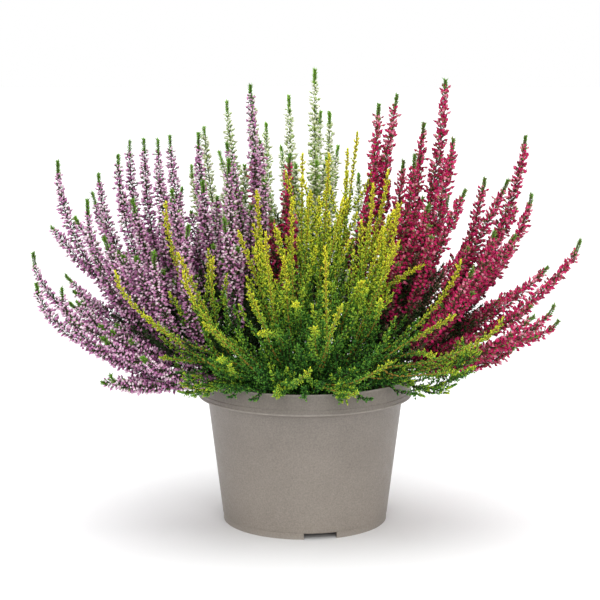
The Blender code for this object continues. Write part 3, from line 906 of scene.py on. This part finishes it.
def places(shoot, start, end, spacing, rng, turn=GOLDEN_TURN, pair=1):
    """Places that wind round a shoot: where each is, the shoot's heading, its way out, and its share."""
    count = max(int((end - start) / spacing), 0)
    order = np.arange(count)
    along = start + spacing * (order // pair * pair + rng.uniform(-WANDER, WANDER, count))
    share = np.clip(along / shoot["length"], 0, 1)
    numbers = share * (len(shoot["line"]) - 1)
    low = np.clip(numbers.astype(int), 0, len(shoot["line"]) - 2)
    part = (numbers - low)[:, None]
    centre = shoot["line"][low] * (1 - part) + shoot["line"][low + 1] * part
    heading, side, front = shoot["heading"][low], shoot["side"][low], shoot["front"][low]
    out = swung(side, front, turn * order + rng.uniform(-WANDER, WANDER, count))
    return centre, heading, out, share


def pair_turns(order):
    """Crossed pairs: every second leaf stands opposite, and every pair is a quarter turn on."""
    return math.pi * (order % 2) + math.pi / 2 * (order // 2)


def bent_stem(shape, shoot, thickness, age):
    """A shoot's wood: a rod bent along its course, tapering with the rod."""
    corners = shape["corners"]
    numbers = corners[:, 2] * (len(shoot["line"]) - 1)
    spots = np.arange(len(shoot["line"]))

    def between(values):
        return np.column_stack([np.interp(numbers, spots, values[:, axis]) for axis in range(3)])

    across = corners[:, :1] * between(shoot["side"]) + corners[:, 1:2] * between(shoot["front"])
    bent = between(shoot["line"]) + thickness * across
    return shape, bent[None], np.array([age]), np.array([age])


def aged(share, ages):
    """The age at each share of a shoot's length, from ages at even steps along it."""
    return np.interp(share, np.linspace(0, 1, len(ages)), ages)


def leaf_rows(shoot, start, end, spacing, size, tilt, rng, ages, stand=BARK_OUT):
    """Scale leaves in crossed pairs along a stretch of a shoot."""
    centre, heading, _, share = places(shoot, start, end, spacing, rng, turn=0, pair=2)
    order = np.arange(len(centre))
    turns = pair_turns(order) + rng.uniform(-WANDER, WANDER, len(order))
    numbers = np.clip((share * (len(shoot["line"]) - 1)).astype(int), 0, len(shoot["line"]) - 1)
    out = swung(shoot["side"][numbers], shoot["front"][numbers], turns)
    axes = swung(heading, out, np.radians(tilt + rng.uniform(-LEAF_SWAY, LEAF_SWAY, len(order))))
    sizes = np.array(size) * rng.uniform(*LEAF_SIZES, len(order))[:, None]
    return repeat(leaf, centre + out * stand, axes, -out, sizes, rng.random(len(order)), aged(share, ages))


def bud_rows(shoot, start, end, habit, rng):
    """Flower buds round a stretch of a shoot, each in a cup of bracts that narrows to its stalk."""
    centre, heading, out, share = places(shoot, start, end, habit["bud_every"], rng)
    count = len(centre)
    if not count:
        return []
    grown = np.clip((share * shoot["length"] - start) / (end - start), 0, 1)
    small = np.interp(grown, BUD_MARKS, BUD_SIZES)
    lean = habit["bud_tilt"] - BUD_UPRIGHT * grown ** 3 + rng.uniform(-BUD_SWAY, BUD_SWAY, count)
    axes = swung(heading, out, np.radians(lean))
    axes[:, 2] -= habit["droop"] * (1 - DROOP_LOST * grown)
    axes = unit(axes + rng.normal(scale=BUD_SCATTER, size=axes.shape))
    long = habit["bud_length"] * small * rng.uniform(*BUD_LENGTHS, count)
    wide = habit["bud_width"] * small * rng.uniform(*BUD_WIDTHS, count)
    stalk = habit["stalk"] * rng.uniform(*STALK_LENGTHS, count) * small
    foot = centre + out * BARK_OUT
    bud_tones, cup_tones = rng.random(count), rng.random(count)
    cup_sizes = np.stack((CUP_WIDTH * wide, CUP_WIDTH * wide, stalk + CUP_GRIP * long), axis=1)
    cups = repeat(calyx, foot, axes, heading, cup_sizes, cup_tones, np.full(count, habit["cup_age"]))
    buds = repeat(bud, foot + axes * stalk[:, None], axes, -heading, np.stack((wide, wide, long), axis=1),
                  bud_tones, np.interp(grown, (0, 1), BUD_AGES))
    return [cups, buds]


def twig_rows(shoot, start, end, habit, rng, ages):
    """The leaves of short side twigs along a stretch of a shoot, which curl up towards its tip."""
    centre, heading, out, share = places(shoot, start, end, habit["twig_every"], rng)
    count = len(centre)
    if not count:
        return []
    grown = aged(share, ages)
    long = np.interp(share * shoot["length"], (start, end), habit["twig_long"])
    long = long * rng.uniform(*TWIG_LENGTHS, count)
    lean = np.radians(TWIG_TILT + rng.uniform(-SIDE_SWAY, SIDE_SWAY, count))
    ahead = unit(swung(heading, out, lean))
    curl = unit(heading + TWIG_RISE) * TWIG_CURL
    sideways = unit(np.cross(ahead, heading + SLIGHT))
    flat = unit(np.cross(sideways, ahead))
    per_twig = max(int(np.median(long) / habit["twig_leaf_every"]), LEAST_LEAVES)
    order = np.tile(np.arange(per_twig), count)
    t = np.tile((np.arange(per_twig) // 2 * 2 + FIRST_PAIR) / per_twig, count)[:, None]
    owner = np.repeat(np.arange(count), per_twig)
    spot = centre[owner] + long[owner, None] * (ahead[owner] * t + curl[owner] * t ** 2)
    way = unit(ahead[owner] + 2 * curl[owner] * t)
    turns = pair_turns(order) + rng.uniform(-TWIG_WANDER, TWIG_WANDER, len(order))
    out = swung(sideways[owner], flat[owner], turns)
    lean = habit["leaf_tilt"] - TILT_LOST * t[:, 0] + rng.uniform(-LEAF_SWAY, LEAF_SWAY, len(order))
    size = np.array(habit["leaf_size"]) * (FOOT_SIZE - SIZE_LOST * t)
    size = size * rng.uniform(*TWIG_LEAF_SIZES, len(order))[:, None]
    return [repeat(
        leaf, spot + out * TWIG_OUT, swung(way, out, np.radians(lean)), -out, size,
        rng.random(len(order)), grown[owner] + habit["tip_age"] * t[:, 0],
    )]


def off_the_pot(line):
    """The same line lifted clear of the compost and of the pot's rim, beyond which it hangs a little."""
    across = np.hypot(line[:, 0], line[:, 1])
    over_rim = np.abs(across - RIM_RADIUS) < RIM_CLEAR
    lowest = np.where(across < RIM_RADIUS, soil_height(across) + TWIG_ROOM, POT_HEIGHT - RIM_HANG)
    lowest = np.where(over_rim, POT_HEIGHT + TWIG_ROOM, lowest)
    return np.column_stack((line[:, :2], np.maximum(line[:, 2], lowest)))


def side_shoots(shoot, start, end, every, length, tilt, rise, rng, outward=0):
    """Side shoots that leave a shoot at a slant and then turn upward, each with its share along it."""
    centre, heading, out, share = places(shoot, start, end, every, rng)
    out = unit(out + outward * unit(centre * (1, 1, 0)))
    made = []
    for foot, ahead, away, mark in zip(centre, heading, out, share):
        left = shoot["length"] * (1 - mark)
        reach = min(rng.uniform(*length), SIDE_SHARE * left + SIDE_LEAST)
        lean = math.radians(tilt + rng.uniform(-SIDE_SWAY, SIDE_SWAY))
        bend = foot + SIDE_BEND * reach * (math.cos(lean) * ahead + math.sin(lean) * away)
        tip = bend + SIDE_END * reach * unit(ahead + SIDE_AWAY * away + (0, 0, rise))
        made.append((framed(off_the_pot(arc(foot, bend, tip, SPLINE_STEPS))), mark))
    return made


def within_the_plant(branch):
    """Whether a low side shoot's tip stays over the pot, or stands well above its rim."""
    x, y, height = branch["line"][-1]
    return math.hypot(x, y) < RIM_RADIUS or height > LOW_LEAFAGE


def leafy_shoot(shape, shoot, thickness, habit, rng, ages, wood_age=0.2):
    """A leafy shoot: its wood, leaves in rows, closer ones at its tip, and leafy twigs nearly to its tip."""
    length = shoot["length"]
    every, size = habit["leaf_every"], habit["leaf_size"]
    return [
        bent_stem(shape, shoot, thickness, wood_age),
        leaf_rows(shoot, FIRST_LEAF, length, every, size, habit["leaf_tilt"], rng, ages),
        leaf_rows(shoot, length - TIP_STRETCH, length, TIP_EVERY, size, TIP_TILT, rng, ages, stand=TIP_OUT),
        *twig_rows(shoot, TWIG_END, length - TWIG_END, habit, rng, ages),
    ]


def grow_spray(name, plant, number, habit, finishes):
    """One spray in place of its plain solid: its shoots, and any leafy ones that trail low down."""
    rng = np.random.default_rng(SPRAY_SEED + number)
    batches = []
    for index in np.flatnonzero(owners == number):
        shoot = smooth_line(courses[index], forks[index])
        if not forks[index]:
            shoot["line"][0] = courses[index][0] - (0, 0, STEM_DEPTH)
        whole = length_of(courses[index])
        bloom = PLANTS[plant]["bloom"] * whole - (whole - shoot["length"])
        batches += habit["dress"](shoot, bloom, habit, rng)
    leader = courses[np.searchsorted(owners, number)]
    for turns in habit["trailing"].get(name, ()):
        branch = smooth_line(np.vstack((leader[:2], np.array(turns, float))), 0)
        batches += leafy_shoot(stem, branch, TRAILING_STEM, habit, rng, habit["trailing_ages"])
        end = branch["length"] - TRAILING_END
        sides = side_shoots(branch, TRAILING_BARE, end, rng=rng, **TRAILING_SIDES)
        for side, _ in sides:
            batches += leafy_shoot(twig, side, TRAILING_TWIG, habit, rng, habit["trailing_ages"])
    spray = assemble(f"{name}_dressed", batches, finishes)
    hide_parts(name)


def grow_plant(plant, habit, finishes):
    """All the sprays of a plant, under the names of its solids."""
    first = plants.index(plant)
    for order in range(len(SPRAYS[plant])):
        grow_spray(f"{plant}_spray_{order + 1:02d}", plant, first + order, habit, finishes)


def living_finish(name, roughness, colours, lengthwise=EVEN, tone_depth=0.5):
    """Bark, leaf or petal: colours by age, shifted by each copy's tone, and shaded from foot to tip."""
    finish, shader = new_finish(name, roughness)
    shader.inputs["Specular IOR Level"].default_value = LIVING_GLOSS
    about = sum_up(finish, "SUBTRACT", attribute(finish, "tone"), 0.5)
    shift = sum_up(finish, "MULTIPLY", about, tone_depth)
    coloured = ramp(finish, sum_up(finish, "ADD", attribute(finish, "age"), shift), colours)
    shaded = blend_colours(finish, coloured, ramp(finish, attribute(finish, "share"), lengthwise))
    shade, height = mottled(finish, scale=900.0, depth=0.5)
    feed(finish, blend_colours(finish, shaded, shade), shader.inputs["Base Color"])
    dent(finish, shader, height, strength=0.35, distance=0.0003)
    return finish


# Lilac heather
# The plant at the left. Its brown-green wood carries long, close spikes of drooping lilac-pink buds, pale
# at their edges, over dark bracts, and each spike ends in a short green leafy tip.
SPIKE_STEM = 0.85
SPIKE_TWIG = 0.5
WOOD_AGE = 0.5
LEAF_SHADES = ((0, 0.6), (1, (1.25, 1.25, 1.1)))

lilac_finishes = (
    living_finish("lilac_bark", 0.75, ((0, (0.03, 0.022, 0.014)), (1, (0.07, 0.05, 0.03)))),
    living_finish("lilac_leaf", 0.5, (
        (0, (0.006, 0.022, 0.005)), (0.4, (0.035, 0.1, 0.02)), (0.6, (0.03, 0.028, 0.018)),
        (1, (0.19, 0.44, 0.04)),
    ), lengthwise=LEAF_SHADES),
    living_finish("lilac_petal", 0.42, (
        (0, (0.3, 0.09, 0.23)), (0.3, (0.58, 0.23, 0.46)), (0.6, (0.76, 0.42, 0.63)),
        (0.85, (0.84, 0.58, 0.73)), (1, (0.92, 0.78, 0.83)),
    ), lengthwise=((0, (0.5, 0.34, 0.4)), (0.35, (0.95, 0.88, 0.93)), (1, 1.15)), tone_depth=1.1),
)

# A spike's green tip: its length, its leaves, and how far the buds reach into it
GREEN_TIPS = (9, 14)
GREEN_EVERY = 0.36
GREEN_LEAF = (1.6, 1.0, 2.9)
GREEN_TILT = 48
TOP_LEAF = (1.4, 0.9, 2.6)
TOP_TILT = 22
GREEN_AGES = (1, 1)
BUDS_IN_GREEN = 2

# A flowering shoot's leaves below its buds, the spikes beside its own, and its low side shoots
LOWEST_BLOOM = 4
LEAVES_PAST_BLOOM = 10
LOWEST_EVERY = 1.2
LOWEST_TILT = 36
LOWEST_AGES = (0.1, 0.4)
BESIDE_BELOW = 15
BESIDE_SHORT = 60
BESIDE_BARE = 6
BESIDE = {"length": (34, 62), "tilt": 26, "rise": 0.3}
LOW_START = 3
LOW = {"tilt": 60, "rise": 0.3, "outward": 0.8}


def spike(shape, shoot, thickness, start, green, habit, rng):
    """A flower spike: its wood, a leafy green tip, and buds from its start nearly to its tip."""
    length = shoot["length"]
    tip = length - green
    return [
        bent_stem(shape, shoot, thickness, WOOD_AGE),
        leaf_rows(shoot, tip, length, GREEN_EVERY, GREEN_LEAF, GREEN_TILT, rng, GREEN_AGES,
                  stand=2 * BARK_OUT),
        leaf_rows(shoot, length - TIP_STRETCH, length, GREEN_EVERY, TOP_LEAF, TOP_TILT, rng, GREEN_AGES),
        *bud_rows(shoot, start, tip + BUDS_IN_GREEN, habit, rng),
    ]


def dress_flowering(shoot, bloom, habit, rng):
    """A flowering shoot: its spike, shorter spikes beside it, and leafy side shoots low down."""
    bloom = max(bloom, LOWEST_BLOOM)
    made = spike(stem, shoot, SPIKE_STEM, bloom, rng.uniform(*GREEN_TIPS), habit, rng)
    made.append(leaf_rows(shoot, LOWEST_BLOOM, bloom + LEAVES_PAST_BLOOM, LOWEST_EVERY,
                          habit["leaf_size"], LOWEST_TILT, rng, LOWEST_AGES))
    end = shoot["length"] - BESIDE_SHORT
    beside = side_shoots(shoot, bloom - BESIDE_BELOW, end, habit["side_every"], rng=rng, **BESIDE)
    for branch, _ in beside:
        made += spike(twig, branch, SPIKE_TWIG, BESIDE_BARE, BESIDE_BARE, habit, rng)
    low = side_shoots(shoot, LOW_START, bloom, habit["low_every"], habit["low_long"], rng=rng, **LOW)
    for branch, _ in low:
        if within_the_plant(branch):
            made += leafy_shoot(twig, branch, SPIKE_TWIG, habit, rng, habit["low_ages"])
    return made


# What the flowering plants share
FLOWERING = {
    "leaf_every": 1.3, "leaf_size": (1.5, 0.9, 3.0), "leaf_tilt": 42, "tip_age": 0.1,
    "twig_every": 2.8, "twig_long": (6, 4), "twig_leaf_every": 0.9, "side_every": 30,
    "low_every": 7, "low_long": (30, 58), "low_ages": (0.05, 0.2, 0.38), "trailing": {},
    "dress": dress_flowering,
}
lilac_habit = {
    **FLOWERING, "bud_every": 0.37, "bud_length": 3.9, "bud_width": 2.85, "bud_tilt": 72,
    "droop": 0.2, "stalk": 2.0, "cup_age": 0.56,
}
grow_plant("lilac", lilac_habit, lilac_finishes)

# White heather
# The plant at the back. Its stems are green, its small buds are white with a green shade, and its spikes
# end in bright green tips that stand above the rest.
white_finishes = (
    living_finish("white_plant_bark", 0.7, ((0, (0.03, 0.04, 0.012)), (1, (0.24, 0.35, 0.07)))),
    living_finish("white_plant_leaf", 0.5, (
        (0, (0.006, 0.022, 0.005)), (0.4, (0.03, 0.1, 0.02)), (0.6, (0.54, 0.66, 0.22)),
        (0.8, (0.28, 0.54, 0.07)), (1, (0.26, 0.55, 0.05)),
    ), lengthwise=LEAF_SHADES),
    living_finish("white_petal", 0.4, (
        (0, (0.2, 0.38, 0.07)), (0.2, (0.52, 0.65, 0.26)), (0.42, (0.85, 0.88, 0.66)),
        (1, (0.96, 0.96, 0.87)),
    ), lengthwise=((0, (0.45, 0.66, 0.3)), (0.4, (0.97, 1.0, 0.92)), (1, 1.1)), tone_depth=0.9),
)
white_habit = {
    **FLOWERING, "bud_every": 0.42, "bud_length": 4.0, "bud_width": 2.7, "bud_tilt": 62,
    "droop": 0.0, "stalk": 2.2, "cup_age": 0.62, "side_every": 36,
    "low_every": 6.5, "low_long": (32, 64), "low_ages": (0.0, 0.2, 0.35),
    "trailing": {
        "white_spray_01": (((-24, 42, 110), (-40, 44, 132), (-44, 44, 158)),),
        "white_spray_02": (((-26, 54, 112), (-44, 56, 128), (-50, 58, 150)),),
        "white_spray_06": (((12, 52, 112), (20, 54, 138), (25, 54, 168)),),
    },
    "trailing_ages": (0.0, 0.15, 0.3),
}
grow_plant("white", white_habit, white_finishes)

# Crimson heather
# The plant at the right. Its tan wood carries long spreading buds, deep crimson with a dark point and a
# pale foot, in broad spikes under leafy green tips.
crimson_finishes = (
    living_finish("crimson_bark", 0.7, ((0, (0.05, 0.028, 0.016)), (1, (0.17, 0.09, 0.055)))),
    living_finish("crimson_leaf", 0.5, (
        (0, (0.006, 0.02, 0.005)), (0.4, (0.04, 0.1, 0.022)), (0.62, (0.42, 0.22, 0.2)),
        (1, (0.15, 0.37, 0.04)),
    ), lengthwise=((0, 0.65), (1, (1.2, 1.2, 1.05)))),
    living_finish("crimson_petal", 0.38, (
        (0, (0.11, 0.003, 0.02)), (0.3, (0.4, 0.006, 0.075)), (0.6, (0.66, 0.01, 0.135)),
        (0.85, (0.78, 0.03, 0.19)), (1, (0.86, 0.28, 0.39)),
    ), lengthwise=((0, (1.15, 1.3, 1.25)), (0.3, 1.1), (0.6, 1.0), (1, (0.45, 0.35, 0.45))), tone_depth=1.0),
)
crimson_habit = {
    **FLOWERING, "bud_every": 0.4, "bud_length": 4.7, "bud_width": 3.1, "bud_tilt": 56,
    "droop": -0.05, "stalk": 2.5, "cup_age": 0.62,
}
grow_plant("crimson", crimson_habit, crimson_finishes)

# Gold heather
# The plant at the front has no flowers. Its orange-brown stems are hidden by close leafy twigs, which are
# deep green low down and inside, lime further up, and clear yellow at the tips.
GOLD_STEM = 0.9
GOLD_TWIG = 0.5
RIPE_HEIGHTS = (130, 230)
RIPE_SHARES = (0.62, 1)
FRESH_AGES = (0.16, 0.45)
SPREADS = (90, 140)
SIDE_ENDS = (0.8, 0.55)
GOLD_WOOD_AGE = 0.85
FRESH_MIDDLE = 0.3
UPPER_START = 10
UPPER_SIDES = {"length": (26, 60), "tilt": 32, "rise": 0.6}
LOWER_START = 2
LOWER_END = 30
LOWER_SIDES = {"every": 6, "length": (38, 62), "tilt": 74, "rise": -0.4, "outward": 1.2}

gold_finishes = (
    living_finish("gold_bark", 0.65, ((0, (0.05, 0.03, 0.012)), (1, (0.4, 0.24, 0.04)))),
    living_finish("gold_leaf", 0.48, (
        (0, (0.008, 0.035, 0.008)), (0.22, (0.045, 0.19, 0.03)), (0.45, (0.15, 0.4, 0.045)),
        (0.7, (0.48, 0.67, 0.045)), (1, (0.88, 0.84, 0.04)),
    ), lengthwise=((0, (0.35, 0.35, 0.4)), (0.5, 1.0), (1, (1.6, 1.5, 1.1))), tone_depth=0.4),
)


def dress_leafy(shoot, bloom, habit, rng):
    """A shoot without flowers: leaves and twigs all along it, and side shoots with tips of their own."""
    across, height = np.hypot(*shoot["line"][-1, :2]), shoot["line"][-1, 2]
    ages = np.array(habit["ages"]) * np.interp(height, RIPE_HEIGHTS, RIPE_SHARES)
    made = leafy_shoot(stem, shoot, GOLD_STEM, habit, rng, ages, wood_age=GOLD_WOOD_AGE)
    every = np.interp(across, SPREADS, habit["side_every"])
    end = shoot["length"] * np.interp(across, SPREADS, SIDE_ENDS)
    branches = side_shoots(shoot, UPPER_START, end, every, rng=rng, **UPPER_SIDES)
    branches += side_shoots(shoot, LOWER_START, min(bloom, LOWER_END), rng=rng, **LOWER_SIDES)
    for branch, share in branches:
        age = aged(share, habit["ages"])
        fresh = age + np.interp(branch["line"][-1, 2], RIPE_HEIGHTS, FRESH_AGES)
        middle_age = (1 - FRESH_MIDDLE) * age + FRESH_MIDDLE * fresh
        branch_ages = (age, middle_age, min(fresh, 1))
        made += leafy_shoot(twig, branch, GOLD_TWIG, habit, rng, branch_ages)
    return made


gold_habit = {
    "leaf_every": 1.3, "leaf_size": (1.9, 1.2, 2.5), "leaf_tilt": 30, "tip_age": 0.22,
    "twig_every": 1.9, "twig_long": (4.4, 3.1), "twig_leaf_every": 0.8,
    "ages": (0.0, 0.16, 0.36, 0.54, 0.75, 1.0), "side_every": (16, 24),
    "trailing": {
        "gold_spray_05": (((-16, -66, 122), (-18, -86, 128), (-20, -100, 121)),),
        "gold_spray_17": (((24, -66, 122), (27, -86, 127), (31, -101, 115)),),
        "gold_spray_15": (
            ((50, -50, 119), (72, -58, 125), (90, -66, 119), (112, -68, 129), (125, -70, 155)),
        ),
        "gold_spray_02": (((-48, -60, 120), (-62, -70, 126), (-78, -76, 120), (-94, -78, 126)),),
    },
    "trailing_ages": (0.1, 0.25, 0.45, 0.7),
    "dress": dress_leafy,
}
grow_plant("gold", gold_habit, gold_finishes)
